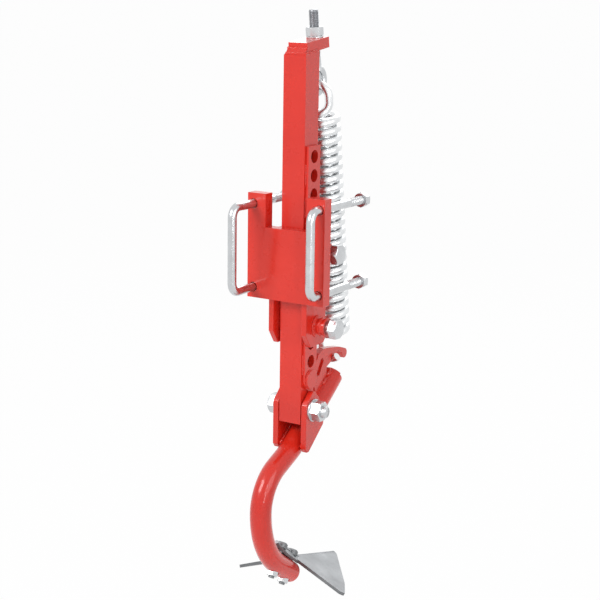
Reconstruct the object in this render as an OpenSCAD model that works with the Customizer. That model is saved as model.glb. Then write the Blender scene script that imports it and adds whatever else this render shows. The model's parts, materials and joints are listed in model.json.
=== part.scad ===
// Spring-trip cultivator tine with its toolbar clamp.
// The toolbar seat on the clamp plate is at Y = 0 and the tine stands behind it, towards +Y.

/* [Toolbar clamp] */
// Height of the toolbar that the U-bolts grip
toolbar_h = 120; // [100:1:125]
// Distance between the two U-bolts
u_pitch = 120; // [112:1:124]
// Diameter of the U-bolt bar
u_bar_d = 14; // [12:1:16]
// Length of a U-bolt leg, from the middle of its bend to its end
u_leg = 179; // [160:1:200]
// Radius of the U-bolt corners, at the middle of the bar
u_bend_r = 16; // [12:1:24]
// How far the left U-bolt's bend stands off the seat
u_left_out = 59; // [30:1:80]
// How far the right U-bolt's bend stands off the seat
u_right_out = 25; // [20:1:80]
// Height of the nuts on the U-bolts
u_nut_h = 12; // [10:1:16]
// Thread left standing past each U-bolt nut
u_thread_end = 9; // [4:1:14]

/* [Holder] */
// Width of the clamp plate
plate_w = 140; // [136:1:160]
// Height of the clamp plate
plate_h = 168; // [156:1:190]
// Thickness of the clamp plate
plate_t = 20; // [14:1:24]
// Depth of the notch in the top of the clamp plate
notch_d = 53; // [40:1:60]
// Thickness of the guide's side plates
guide_t = 9; // [6:1:12]
// Thickness of the guide's rear plate
rear_t = 8; // [6:1:12]
// How far the guide reaches below the clamp plate
guide_drop = 75; // [60:1:90]
// How far the guide's top lies above the middle of the seat
guide_top = 28; // [20:1:31]
// Size of the chamfers at the guide's lower front corners
guide_cut = 22; // [12:1:30]

/* [Lock screws] */
// Diameter of the lock screws
lock_d = 20; // [16:1:22]
// Length of the threaded bosses for the lock screws
boss_len = 20; // [14:1:26]
// Outside diameter of the threaded bosses
boss_d = 31; // [29:1:36]
// Width across the flats of the lock screw heads
lock_af = 30; // [26:1:34]
// How far a lock screw drives into the rack
lock_travel = 8; // [5:1:8]

/* [Shank] */
// Width of the square shank tube
tube_w = 40; // [36:1:44]
// Wall of the shank tube
tube_wall = 5; // [3:0.5:6]
// Length of the shank tube along its front
tube_len = 587.5; // [575:0.5:605]
// Thickness of the rack strip
strip_t = 5; // [4:0.5:8]
// Width of the rack strip
strip_w = 36; // [34:1:36]
// Distance between the rack holes
rack_pitch = 30; // [28:1:32]
// Number of rack holes
rack_holes = 12; // [12:1:13]
// Rack hole that the upper lock screw faces, counted from the bottom
rack_set = 6; // [6:1:8]
// Height of the lowest rack hole above the end of the tube
rack_first = 102; // [98:1:106]
// Thickness of the end stop disc
stop_t = 3; // [2:0.5:4]
// Thickness of the top plate
top_t = 17; // [12:1:20]
// Length of the top plate, front to back
top_len = 67; // [62:1:80]
// Width of the top plate
top_w = 34; // [30:1:36]

/* [Spring] */
// Diameter of the spring wire
wire_d = 13.5; // [11:0.5:13.5]
// Diameter of the coils, at the middle of the wire
coil_d = 45.5; // [44:0.5:50]
// Distance between neighbouring coils
coil_pitch = 15.45; // [15:0.05:17]
// Number of coils
coils = 24; // [18:1:25]
// Length of the spring between the insides of its hooks, at the middle of the wire
hook_span = 465; // [440:1:490]
// Radius of the hooks, at the middle of the wire
hook_r = 20; // [18:0.5:22]
// How far the open end of a hook reaches past the hook's middle, in degrees
hook_end = 40; // [32:1:50]
// Lean of the spring from upright, in degrees
lean = 7.6; // [6:0.1:9]

/* [Eyebolt] */
// Diameter of the eyebolt's threaded rod
rod_d = 16; // [14:1:18]
// Length of the rod above the middle of the eye
rod_len = 109; // [100:1:125]
// Diameter of the eye, at the middle of its bar
eye_d = 38; // [36:1:42]
// Diameter of the bar that the eye is bent from
eye_bar_d = 12; // [10:1:12]

/* [Tine] */
// Diameter of the round bar of the tine
bar_d = 35; // [32:1:38]
// Thickness of the clevis plates
clevis_t = 10; // [8:1:14]
// Diameter of the pivot bolt
pivot_d = 20; // [16:1:22]
// Height of the pivot above the end of the tube
pivot_z = 22; // [20:1:26]
// Slope of the bar where it climbs to the spring, in degrees
climb = 35; // [33:1:37]
// Slope of the bar where it leaves the clevis, in degrees
shoulder = 22; // [18:1:26]
// Slope of the share end of the bar, in degrees
toe = 36; // [32:1:40]
// Bend radius at the back of the tine
upper_r = 71; // [60:1:80]
// Bend radius at the front of the tine
lower_r = 128; // [115:1:140]
// Straight length at the share end
toe_len = 54; // [48:1:62]

/* [Spring lever] */
// Thickness of the hook plate
hook_plate_t = 12; // [8:1:13]
// Thickness of the saddle strap under the hook plate
foot_t = 4; // [3:0.5:5]
// How far the saddle strap wraps round the bar to each side, in degrees
foot_wrap = 62; // [50:1:75]
// Distance between the saddle strap's two bolts
foot_pitch = 20; // [19:1:22]
// Diameter of the saddle strap and share bolts
small_bolt_d = 10; // [8:1:12]

/* [Share] */
// Width of the share across the wing tips
share_w = 206; // [160:1:240]
// Thickness of the share
share_t = 5; // [4:0.5:6]
// Length of the ridge from the neck to the nose
nose_len = 148; // [130:1:160]
// Droop of the wings from the ridge, in degrees
droop = 21; // [14:1:24]
// Downward slope of the ridge, in degrees
rake = 17; // [12:1:22]
// Fold of the neck to each side of its ridge, in degrees
neck_fold = 45; // [40:1:48]
// Width of the neck, flattened out
neck_w = 37; // [32:1:40]

/* [Clearances] */
// Free space between parts that slide on each other
slide_gap = 1; // [0.5:0.1:1.5]
// Free space round a U-bolt leg in its hole
leg_gap = 0.75; // [0.5:0.05:1]
// Free space round a pin or screw that turns in its hole
turn_gap = 0.05; // [0.02:0.01:0.1]
// Free space at a seat that carries a moving part
seat_gap = 0.3; // [0.2:0.05:0.5]

/* [Hidden] */
eps = 0.01;
red = [0.86, 0.16, 0.12];
zinc = [0.78, 0.8, 0.82];
dark_steel = [0.42, 0.45, 0.48];

// Heights and depths shared by the holder and the shank
u_spacing = toolbar_h + u_bar_d;
tube_y = plate_t + slide_gap;
upper_lock_z = -7;
lock_step = 4 * rack_pitch;
tube_z = upper_lock_z - rack_first - rack_set * rack_pitch;
rack_y = tube_w / 2 + 2;
guide_in = tube_w / 2 + strip_t + slide_gap;
guide_out = guide_in + guide_t;
rear_y = tube_y + tube_w + slide_gap;
guide_bottom = -plate_h / 2 - guide_drop;
guide_step = plate_t - 11;
rack_hole_d = lock_d + 0.6;
strip_x = tube_w / 2;
clevis_x = tube_w / 2 + 1.5;
pivot_y = tube_w / 2;
pivot_af = 1.5 * pivot_d;

// Turns a drawing in Y and Z into the side view of the object, with its depth along X
module side_view() {
    rotate([90, 0, 90]) children();
}

// The shank's own frame: Y from the front of the tube, Z from its lower end
module at_shank() {
    translate([0, tube_y, tube_z]) children();
}

// A flat plate cut in side view, centred on x
module side_plate(x, t) {
    translate([x - t / 2, 0, 0]) side_view() linear_extrude(t) children();
}

// A bar with round ends between two points, drawn flat, its sides a hair inside the circles
module lobe(a, b, r) {
    dir = b - a;
    side = r - 0.02;
    translate(a) circle(r, $fn = 64);
    translate(b) circle(r, $fn = 64);
    translate(a) rotate(atan2(dir[1], dir[0])) translate([0, -side]) square([norm(dir), 2 * side]);
}

// A hexagon nut or bolt head with chamfered corners, standing on z = 0
module hexagon(af, h) {
    intersection() {
        rotate(30) cylinder(h = h, d = af / cos(30), $fn = 6);
        cylinder(h = h, d1 = af / cos(30) + 2 * h, d2 = af * 0.96, $fn = 64);
    }
}

module hex_nut(af, h, bore) {
    difference() {
        hexagon(af, h);
        translate([0, 0, -eps]) cylinder(h = h + 2 * eps, d = bore, $fn = 64);
    }
}

module washer(d, bore, t) {
    difference() {
        cylinder(h = t, d = d, $fn = 64);
        translate([0, 0, -eps]) cylinder(h = t + 2 * eps, d = bore, $fn = 64);
    }
}

// Clamp plate with the notch that the shank stands in and the four U-bolt holes
notch_w = 2 * guide_out + 4;

module clamp_plate() {
    color(red) difference() {
        translate([-plate_w / 2, 0, -plate_h / 2]) cube([plate_w, plate_t, plate_h]);
        translate([-notch_w / 2, -eps, plate_h / 2 - notch_d])
            cube([notch_w, plate_t + 2 * eps, notch_d + eps]);
        for (x = [-1, 1], z = [-1, 1])
            translate([x * u_pitch / 2, -eps, z * u_spacing / 2]) rotate([-90, 0, 0])
                cylinder(h = plate_t + 2 * eps, d = u_bar_d + 2 * leg_gap, $fn = 64);
    }
}

// Side plate of the guide, hooked under the clamp plate, with its lower front corner cut off
module guide_outline() {
    polygon([
        [plate_t, guide_top],
        [rear_y + rear_t, guide_top],
        [rear_y + rear_t, guide_bottom + guide_cut / 4],
        [rear_y + rear_t - guide_cut / 4, guide_bottom],
        [guide_step + guide_cut * 0.7, guide_bottom],
        [guide_step, guide_bottom + guide_cut],
        [guide_step, -plate_h / 2],
        [plate_t, -plate_h / 2]
    ]);
}

module guide_side_left() {
    color(red) side_plate(-guide_in - guide_t / 2, guide_t) guide_outline();
}

// Packing strip on the left side plate that the shank slides along
module guide_pad() {
    setback = 6;
    color(red) translate([-guide_in, tube_y + setback, guide_bottom + guide_cut])
        cube([strip_t, tube_w - setback, guide_top - guide_bottom - guide_cut]);
}

module lock_axis(step) {
    translate([guide_out, tube_y + rack_y, upper_lock_z - step * lock_step])
        rotate([0, 90, 0]) children();
}

module guide_side_right() {
    color(red) difference() {
        side_plate(guide_in + guide_t / 2, guide_t) guide_outline();
        for (step = [0, 1]) lock_axis(step) translate([0, 0, -guide_t - eps])
            cylinder(h = guide_t + 2 * eps, d = lock_d + 2 * turn_gap, $fn = 64);
    }
}

module guide_rear_plate() {
    color(red) translate([-guide_in, rear_y, guide_bottom + guide_cut / 4])
        cube([2 * guide_in, rear_t, guide_top - guide_bottom - guide_cut / 4]);
}

// Threaded bosses on the right side plate, each turned with three ribs
module lock_bosses() {
    rib = 3.2;
    color(red) for (step = [0, 1]) lock_axis(step) difference() {
        union() {
            cylinder(h = boss_len, d = boss_d - 4, $fn = 64);
            for (k = [0 : 2]) translate([0, 0, k * (boss_len - rib) / 2])
                cylinder(h = rib, d = boss_d, $fn = 64);
        }
        translate([0, 0, -eps])
            cylinder(h = boss_len + 2 * eps, d = lock_d + 2 * turn_gap, $fn = 64);
    }
}

// Lock screw, drawn backed out so that the shank is free to slide
module lock_screw(step) {
    head_h = 0.65 * lock_d;
    collar = lock_travel + seat_gap;
    tip = guide_t + slide_gap - 0.4;
    color(zinc) lock_axis(step) {
        translate([0, 0, -tip]) cylinder(h = 2, d1 = lock_d - 3, d2 = lock_d, $fn = 64);
        translate([0, 0, 2 - tip]) cylinder(h = boss_len + collar + tip - 2, d = lock_d, $fn = 64);
        translate([0, 0, boss_len + collar]) hexagon(lock_af, head_h);
    }
}

module lock_screw_upper() { lock_screw(0); }

module lock_screw_lower() { lock_screw(1); }

// U-bolt bent square from round bar, with its legs through the clamp plate
module u_bolt(side, out) {
    x = side * u_pitch / 2;
    half = u_spacing / 2;
    color(zinc) translate([x, 0, 0]) side_view() {
        for (z = [-1, 1]) {
            translate([-out + u_bend_r, z * half, 0]) rotate([0, 90, 0])
                cylinder(h = u_leg - u_bend_r - 1, d = u_bar_d, $fn = 48);
            translate([-out + u_leg - 1, z * half, 0]) rotate([0, 90, 0])
                cylinder(h = 1, d1 = u_bar_d, d2 = u_bar_d - 2, $fn = 48);
        }
        translate([-out, -half + u_bend_r, 0]) rotate([-90, 0, 0])
            cylinder(h = u_spacing - 2 * u_bend_r, d = u_bar_d, $fn = 48);
        translate([-out + u_bend_r, half - u_bend_r, 0]) rotate(90)
            rotate_extrude(angle = 90, $fn = 96) translate([u_bend_r, 0]) circle(d = u_bar_d, $fn = 48);
        translate([-out + u_bend_r, -half + u_bend_r, 0]) rotate(180)
            rotate_extrude(angle = 90, $fn = 96) translate([u_bend_r, 0]) circle(d = u_bar_d, $fn = 48);
    }
}

module u_bolt_left() { u_bolt(-1, u_left_out); }

module u_bolt_right() { u_bolt(1, u_right_out); }

// Nut and washer near the end of each leg
module u_nuts(side, out) {
    under_t = 3;
    color(zinc) for (z = [-1, 1])
        translate([side * u_pitch / 2, u_leg - out - u_thread_end - u_nut_h, z * u_spacing / 2])
            rotate([-90, 0, 0]) {
                hex_nut(1.55 * u_bar_d, u_nut_h, u_bar_d + 2 * turn_gap);
                translate([0, 0, -under_t])
                    washer(1.6 * u_bar_d, u_bar_d + 2 * turn_gap, under_t);
            }
}

module u_bolt_left_nuts() { u_nuts(-1, u_left_out); }

module u_bolt_right_nuts() { u_nuts(1, u_right_out); }

// Holes through a side of the shank, one for each rack position
module rack_drill(x, t) {
    for (k = [0 : rack_holes - 1])
        translate([x - eps, rack_y, rack_first + k * rack_pitch]) rotate([0, 90, 0])
            cylinder(h = t + 2 * eps, d = rack_hole_d, $fn = 48);
}

module shank_tube() {
    bush_d = pivot_d + 6;
    color(red) difference() {
        at_shank() translate([-tube_w / 2, 0, 0]) cube([tube_w, tube_w, tube_len + tube_w]);
        on_pull(plate_up) translate([-tube_w, -3 * tube_w, 0]) cube([2 * tube_w, 4 * tube_w, 3 * tube_w]);
        at_shank() {
            translate([tube_wall - tube_w / 2, tube_wall, -eps])
                cube([tube_w - 2 * tube_wall, tube_w - 2 * tube_wall, tube_len + 2 * tube_w]);
            rack_drill(-tube_w / 2, tube_wall);
            rack_drill(tube_w / 2 - tube_wall, tube_wall);
            translate([-tube_w / 2 - eps, pivot_y, pivot_z]) rotate([0, 90, 0])
                cylinder(h = tube_w + 2 * eps, d = bush_d, $fn = 64);
        }
    }
}

// Rack strip with a round lower end and its row of holes
strip_end = rack_first - rack_pitch;
strip_top = rack_first + (rack_holes - 1) * rack_pitch + 17;

module rack_strip() {
    color(red) at_shank() difference() {
        side_plate(strip_x + strip_t / 2, strip_t) {
            translate([rack_y, strip_end]) circle(d = strip_w, $fn = 96);
            translate([rack_y - strip_w / 2, strip_end]) square([strip_w, strip_top - strip_end]);
        }
        rack_drill(strip_x, strip_t);
    }
}

// Disc welded on the strip below the last hole, which the guide meets at its highest place
module end_stop() {
    color(red) at_shank() translate([strip_x + strip_t, rack_y, strip_end]) rotate([0, 90, 0])
        cylinder(h = stop_t, d = strip_w - 5, $fn = 64);
}

// The eyebolt, its nut and the spring share a line that leans with the spring
pull_top = [0, 68.8, 540];
pull_dir = [0, sin(lean), -cos(lean)];
pull_out = [0, cos(lean), sin(lean)];
eye_up = eye_d / 2 - eye_bar_d / 2 - wire_d / 2 - seat_gap;

// A frame at the top hook with +Z up the line of pull and +Y away from the shank
module on_pull(up) {
    at_shank() translate(pull_top - up * pull_dir) rotate([lean, 0, 0]) children();
}

// The top plate lies square to the line of pull, on the slanted top end of the tube
plate_up = pull_top[1] * sin(lean) + (tube_len - pull_top[2]) * cos(lean);
rod_y = pull_top[1] - plate_up * sin(lean);
top_y = 9.5;
plate_front = (top_y - rod_y) / cos(lean);
washer_t = 3;
nut_seat = plate_up + top_t + washer_t;

module top_plate() {
    color(red) on_pull(plate_up) difference() {
        translate([-top_w / 2, plate_front, 0]) cube([top_w, top_len, top_t]);
        translate([0, 0, -eps]) cylinder(h = top_t + 2 * eps, d = rod_d + 1, $fn = 64);
    }
}

// Weld bead that closes the front of the tube and runs along both sides of the top plate
module top_weld() {
    leg = (tube_w - top_w) / 2;
    front = -rod_y / cos(lean);
    color(red) on_pull(plate_up) {
        side_plate(0, top_w) polygon([[front + 1, 0], [front + 1.5, 3], [plate_front - 2, 9],
            [plate_front, 9], [plate_front, 0]]);
        for (side = [0, 1]) mirror([side, 0, 0]) translate([top_w / 2, front + tube_w - 2, 0])
            rotate([90, 0, 0]) linear_extrude(tube_w - 3) polygon([[0, 0], [leg, 0], [0, leg]]);
    }
}

// Bush that the pivot bolt turns in, held in the tube
module pivot_bush() {
    bush_len = 2 * clevis_x - 2 * seat_gap;
    color(zinc) at_shank() translate([-bush_len / 2, pivot_y, pivot_z]) rotate([0, 90, 0])
        difference() {
            cylinder(h = bush_len, d = pivot_d + 6 - 0.02, $fn = 64);
            translate([0, 0, -eps])
                cylinder(h = bush_len + 2 * eps, d = pivot_d + 2 * turn_gap, $fn = 64);
        }
}

// Eyebolt: threaded rod forged into a round eye, which hangs from the top plate by its nut
module eyebolt() {
    color(zinc) on_pull(eye_up) {
        rotate([90, 0, 90]) rotate_extrude($fn = 96) translate([eye_d / 2, 0])
            circle(d = eye_bar_d, $fn = 48);
        translate([0, 0, eye_d / 2 - 3]) cylinder(h = rod_len - eye_d / 2 + 2, d = rod_d, $fn = 64);
        translate([0, 0, rod_len - 1]) cylinder(h = 2, d1 = rod_d, d2 = rod_d - 4, $fn = 64);
    }
}

module tension_washer() {
    color(zinc) on_pull(nut_seat - washer_t) washer(1.7 * rod_d, rod_d + 1, washer_t);
}

module tension_nut() {
    color(zinc) on_pull(nut_seat + seat_gap) hex_nut(1.5 * rod_d, 0.85 * rod_d, rod_d + 2 * turn_gap);
}

// Extension spring: one wire from hook to hook, with 8 rings of 6 sides in each coil.
// Points are [x, out, down]: across, away from the shank, and down the line of pull.
hook_plane = 11;
coil_r = coil_d / 2;
coil_rings = 8;
ring_sides = 6;
exit_turn = 98.6;
swept = 360 * coils - 2 * (exit_turn - 90);
coil_down = (hook_span - coil_pitch * swept / 360) / 2;
leg_down = hook_r + 6;

function coil_point(a) =
    [coil_r * cos(a), hook_plane + coil_r * sin(a), coil_down - coil_pitch * (a + exit_turn) / 360];

function bezier(a, b, c, d, t) =
    pow(1 - t, 3) * a + 3 * t * pow(1 - t, 2) * b + 3 * t * t * (1 - t) * c + pow(t, 3) * d;

leg_top = [hook_r, 0, leg_down];
coil_start = coil_point(-exit_turn);
coil_tangent = let (v = coil_point(-exit_turn - 1) - coil_start) v / norm(v);
blend_len = 17;

// Arch of a hook from its open end, and the leg that sweeps into the first coil
hook_path = concat(
    [for (k = [0 : 6]) let (a = (90 + hook_end) * (1 - k / 6))
        [hook_r * cos(a), 0, hook_r - hook_r * sin(a)]],
    [for (k = [0 : 5]) bezier(leg_top, leg_top + [0, 0, blend_len],
        coil_start - blend_len * coil_tangent, coil_start, k / 6)]
);
coil_steps = round(swept * coil_rings / 360);
coil_path = [for (k = [0 : coil_steps]) coil_point(-exit_turn - k * swept / coil_steps)];
// The lower hook is the upper one turned half round the spring's middle
lower_path = [for (k = [len(hook_path) - 1 : -1 : 0])
    [-hook_path[k][0], hook_path[k][1], hook_span - hook_path[k][2]]];
wire_path = concat(hook_path, coil_path, lower_path);

function unit(v) = v / norm(v);
function along(path, k) = unit(path[min(k + 1, len(path) - 1)] - path[max(k - 1, 0)]);
// Carries a ring's side direction on to the next ring without twist
function carried(path, k, side) = let (t = along(path, k)) unit(side - (side * t) * t);
function sides(path, k, side) = k >= len(path) ? [] :
    let (s = carried(path, k, side)) concat([s], sides(path, k + 1, s));

module wire(path, d) {
    n = len(path);
    s = sides(path, 0, [0, 1, 0]);
    r = d / 2;
    points = [for (k = [0 : n - 1], j = [0 : ring_sides - 1])
        let (t = along(path, k), w = cross(t, s[k]), a = 360 * j / ring_sides)
            path[k] + r * cos(a) * s[k] + r * sin(a) * w];
    walls = [for (k = [0 : n - 2], j = [0 : ring_sides - 1])
        let (a = k * ring_sides + j, b = k * ring_sides + (j + 1) % ring_sides)
            each [[a, a + ring_sides, b], [b, a + ring_sides, b + ring_sides]]];
    last = (n - 1) * ring_sides;
    caps = [for (j = [1 : ring_sides - 2]) each [[0, j, j + 1], [last, last + j + 1, last + j]]];
    polyhedron(points, concat(walls, caps));
}

// Least free space between two stretches of the wire that aren't neighbours
wire_gap = min([for (i = [0 : len(wire_path) - 7])
    min([for (j = [i + 6 : len(wire_path) - 1]) norm(wire_path[i] - wire_path[j])])]) - wire_d;

module spring() {
    echo(spring_least_gap_mm = wire_gap);
    color(zinc) at_shank() translate(pull_top) rotate([lean, 0, 0]) mirror([0, 0, 1])
        wire(wire_path, wire_d);
}

// Clevis plate that straddles the end of the tube and carries the tine
module clevis_outline() {
    polygon([
        [-1, pivot_z - 62], [-1, pivot_z + 9], [1, pivot_z + 13], [20, pivot_z + 30],
        [26, pivot_z + 30], [40, pivot_z + 16], [57, pivot_z - 24], [55, pivot_z - 33],
        [10, pivot_z - 69], [4, pivot_z - 69]
    ]);
}

module clevis(x) {
    color(red) at_shank() difference() {
        side_plate(x + clevis_t / 2, clevis_t) clevis_outline();
        translate([x - eps, pivot_y, pivot_z]) rotate([0, 90, 0])
            cylinder(h = clevis_t + 2 * eps, d = pivot_d + 2 * turn_gap, $fn = 64);
    }
}

module clevis_left() { clevis(-clevis_x - clevis_t); }

module clevis_right() { clevis(clevis_x); }

pivot_washer_t = 3;
clevis_out = clevis_x + clevis_t;

module pivot_axis(x) {
    at_shank() translate([x, pivot_y, pivot_z]) rotate([0, 90, 0]) children();
}

module pivot_bolt() {
    head_h = 0.62 * pivot_d;
    nut_h = 0.85 * pivot_d;
    under = clevis_out + pivot_washer_t;
    color(zinc) {
        pivot_axis(-under) mirror([0, 0, 1]) hexagon(pivot_af, head_h);
        pivot_axis(-under) cylinder(h = 2 * under + nut_h + 4, d = pivot_d, $fn = 64);
        pivot_axis(under + nut_h + 4) cylinder(h = 2, d1 = pivot_d, d2 = pivot_d - 4, $fn = 64);
    }
}

module pivot_washers() {
    color(zinc) for (side = [-1, 1]) pivot_axis(side * (clevis_out + pivot_washer_t / 2))
        translate([0, 0, -pivot_washer_t / 2])
            washer(1.85 * pivot_d, pivot_d + 2 * turn_gap, pivot_washer_t);
}

module pivot_nut() {
    color(zinc) pivot_axis(clevis_out + pivot_washer_t)
        hex_nut(pivot_af, 0.85 * pivot_d, pivot_d + 2 * turn_gap);
}

// Path of the tine bar in side view. A slope of 0 heads to the front, and 90 heads down.
function heading(a) = [-cos(a), -sin(a)];
function inner(a) = [sin(a), -cos(a)];

corner_room = bar_d / 2 + seat_gap + 0.1;
under_corner = [tube_w, 0] + corner_room * inner(climb);
climb_up = 109;
climb_down = 47;
bar_top = under_corner - climb_up * heading(climb);
reverse_r = 60;
p_climb = under_corner + climb_down * heading(climb);
c_reverse = p_climb - reverse_r * inner(climb);
p_reverse = c_reverse + reverse_r * inner(shoulder);
shoulder_len = 43;
p_shoulder = p_reverse + shoulder_len * heading(shoulder);
c_upper = p_shoulder + upper_r * inner(shoulder);
p_back = c_upper - upper_r * inner(90);
c_lower = p_back + lower_r * inner(90);
toe_dir = 180 - toe;
p_toe = c_lower - lower_r * inner(toe_dir);
bar_end = p_toe + toe_len * heading(toe_dir);

// A straight run of the bar, and a bend with its centre and its first and last directions.
// Each stops a hair short, and a weld ring a touch thicker than the bar joins it to the next.
module run(p, slope, length) {
    translate(p) rotate(180 + slope) translate([0.1, 0, 0]) rotate([0, 90, 0])
        cylinder(h = length - 0.2, d = bar_d, $fn = 72);
}

module bend(centre, r, from, to) {
    translate(centre) rotate(from + 0.05) rotate_extrude(angle = to - from - 0.1, $fn = 96)
        translate([r, 0]) circle(d = bar_d, $fn = 72);
}

module weld_ring(p, slope) {
    translate(p) rotate(180 + slope) translate([-0.4, 0, 0]) rotate([0, 90, 0])
        cylinder(h = 0.8, d = bar_d + 0.1, $fn = 72);
}

foot_len = 84;
// The underside tapers towards the top end of the bar
taper = 11;
taper_len = 58;
// Distances of the two foot bolts from the top end of the bar
foot_bolt_at = [13, 13 + foot_pitch];
// Distances of the two share bolts from the toe end of the bar
share_bolt_at = [19, 60];

// Frames on the bar with +X along it from its end, +Y out of its upper side
module on_foot() {
    at_shank() side_view() translate(bar_top) rotate(180 + climb) mirror([0, 1, 0]) children();
}

module on_toe() {
    at_shank() side_view() translate(bar_end) rotate(-toe) mirror([1, 0, 0]) children();
}

// Drills across the bar from its upper side
module across(at, length, d) {
    translate([at, -length / 2, 0]) rotate([-90, 0, 0]) cylinder(h = length, d = d, $fn = 48);
}

module tine_bar() {
    flat = 2 * bar_d;
    color(red) difference() {
        at_shank() side_view() {
            run(bar_top, climb, climb_up + climb_down);
            bend(c_reverse, reverse_r, shoulder - 90, climb - 90);
            run(p_reverse, shoulder, shoulder_len);
            bend(c_upper, upper_r, 90 + shoulder, 180);
            bend(c_lower, lower_r, 180, 90 + toe_dir);
            run(p_toe, toe_dir, toe_len);
            weld_ring(p_climb, climb);
            weld_ring(p_reverse, shoulder);
            weld_ring(p_shoulder, shoulder);
            weld_ring(p_back, 90);
            weld_ring(p_toe, toe_dir);
        }
        on_foot() translate([taper_len, -bar_d / 2, 0]) rotate([0, 0, -taper])
            translate([-2 * taper_len, -flat, -flat / 2]) cube([2 * taper_len, flat, flat]);
        on_foot() for (at = foot_bolt_at) across(at, flat, small_bolt_d + 2 * turn_gap);
        on_toe() for (at = share_bolt_at) across(at, flat, small_bolt_d + 2 * turn_gap);
        on_foot() for (at = foot_bolt_at) translate([at, -bar_d - foot_through, 0])
            rotate([-90, 0, 0]) cylinder(h = bar_d, d = 2.2 * small_bolt_d, $fn = 48);
        on_toe() for (at = share_bolt_at) translate([at, -bar_d - toe_through, 0])
            rotate([-90, 0, 0]) cylinder(h = bar_d, d = 2.2 * small_bolt_d, $fn = 48);
    }
}

// Diameter and height of the cup heads of the bolts
head_d = 1.9 * small_bolt_d;
head_h = 4;
// Outside radius of the saddle strap, and height of the neck's ridge above the middle of the bar
foot_top = bar_d / 2 + turn_gap + foot_t;
ridge_up = (bar_d / 2 + 0.1 + share_t) / cos(neck_fold);
// Distances of the nuts' seats below the middle of the bar
foot_through = bar_d / 2 - 10;
toe_through = bar_d / 2 - 3;

// Saddle strap that wraps over the upper side of the bar at its top end
module foot_strap() {
    color(red) difference() {
        on_foot() translate([2, 0, 0]) rotate([0, 90, 0]) rotate([0, 0, 90 - foot_wrap])
            rotate_extrude(angle = 2 * foot_wrap, $fn = 96)
                translate([foot_top - foot_t, 0]) square([foot_t, foot_len - 2]);
        on_foot() for (at = foot_bolt_at) across(at, 3 * bar_d, small_bolt_d + 2 * turn_gap);
    }
}

// A round bar along the foot or toe, as wide as what lies on the tine bar there
module bar_space(d, length) {
    translate([-bar_d, 0, 0]) rotate([0, 90, 0]) cylinder(h = bar_d + length, d = d, $fn = 96);
}

// Hook plate in the shank's frame: a slotted loop on the foot strap and a claw over the spring's hook
hook_at = [pull_top[1], pull_top[2]] + hook_span * [sin(lean), -cos(lean)];
claw_seat = wire_d / 2 + seat_gap;
// The wire bends upward across the plate's thickness, so the seat is deeper by this much
hook_sag = hook_r - sqrt(hook_r * hook_r - hook_plate_t * hook_plate_t / 4);
loop_r = 17;
slot_r = 5;
slot_low = hook_at + [-51, -14];
slot_high = hook_at + [-39.5, 4.5];
claw_tip = hook_at + [36.9, 1.8];
tip_r = 8.2;

module hook_outline() {
    difference() {
        union() {
            lobe(slot_low + [-4, -6.5], slot_high, loop_r);
            translate(slot_low) polygon([[-12, -18], [-6, -48], [26, -24], [28, 6], [8, 14]]);
            translate(claw_tip) circle(tip_r, $fn = 64);
            translate(hook_at) polygon([
                [-40, 0], [-26, -10], [-9, -3], [0, 0], [9, 7], [13, 11.2], [22.5, 8.6], [27, 5.2],
                [28.8, 1], [37, 0], [43, 7], [40, 9.4], [34, 11.6], [21, 16], [0, 20], [-16, 22.6],
                [-30, 24], [-39.5, 23.2], [-47, 19]
            ]);
        }
        lobe(slot_low, slot_high, slot_r);
        translate(hook_at + hook_sag / 2 * [-sin(lean + 15), cos(lean + 15)])
            circle(claw_seat + hook_sag + seat_gap / 2, $fn = 64);
    }
}

module hook_plate() {
    color(red) difference() {
        at_shank() side_plate(0, hook_plate_t) hook_outline();
        on_foot() bar_space(2 * foot_top, 3 * bar_d);
        // Relief for the head of the lower bolt
        on_foot() across(foot_bolt_at[1], 2 * (foot_top + head_h + 1), head_d + 2);
    }
}

// Bolts through the bar, with their nuts in spot faces on its underside
module small_shanks(places, through, up) {
    nut_h = 0.8 * small_bolt_d;
    for (at = places) translate([at, -through - nut_h - 3, 0]) rotate([-90, 0, 0])
        cylinder(h = through + nut_h + 3 + up, d = small_bolt_d, $fn = 48);
}

module small_nuts(places, through) {
    nut_h = 0.8 * small_bolt_d;
    for (at = places) translate([at, -through, 0]) rotate([90, 0, 0])
        hex_nut(1.7 * small_bolt_d, nut_h, small_bolt_d + 2 * turn_gap);
}

// Cup head of a bolt, standing on a level above the middle of the bar
module cup_heads(places, low, top) {
    for (at = places) translate([at, low, 0]) rotate([-90, 0, 0]) {
        cylinder(h = top - low - 2, d = head_d, $fn = 48);
        translate([0, 0, top - low - 2]) cylinder(h = 2, d1 = head_d, d2 = head_d - 5, $fn = 48);
    }
}

module foot_bolts() {
    color(zinc) on_foot() {
        small_shanks(foot_bolt_at, foot_through, foot_top + 1);
        difference() {
            cup_heads(foot_bolt_at, foot_top - 3, foot_top + head_h);
            bar_space(2 * foot_top, 3 * bar_d);
        }
    }
}

module foot_nuts() {
    color(zinc) on_foot() small_nuts(foot_bolt_at, foot_through);
}

// Goosefoot share: a neck folded over the bar and two wings that droop from a ridge
neck_len = 82;
neck_low = -8;
// Start of the wings' ridge in side view, seen from the toe end of the bar
ridge_point = bar_end + [3.5, 29];

module neck_side(side) {
    half = neck_w / 2;
    on_toe() translate([0, ridge_up, 0]) rotate([side * neck_fold, 0, 0])
        mirror([0, 0, side < 0 ? 1 : 0]) translate([0, -share_t, -1]) rotate([-90, 0, 0])
            mirror([0, 1, 0]) linear_extrude(share_t) polygon([
                [neck_low, 0], [neck_low, 8], [6, half], [50, half - 1], [neck_len - 5, 8],
                [neck_len, 4], [neck_len, 0]
            ]);
}

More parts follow.
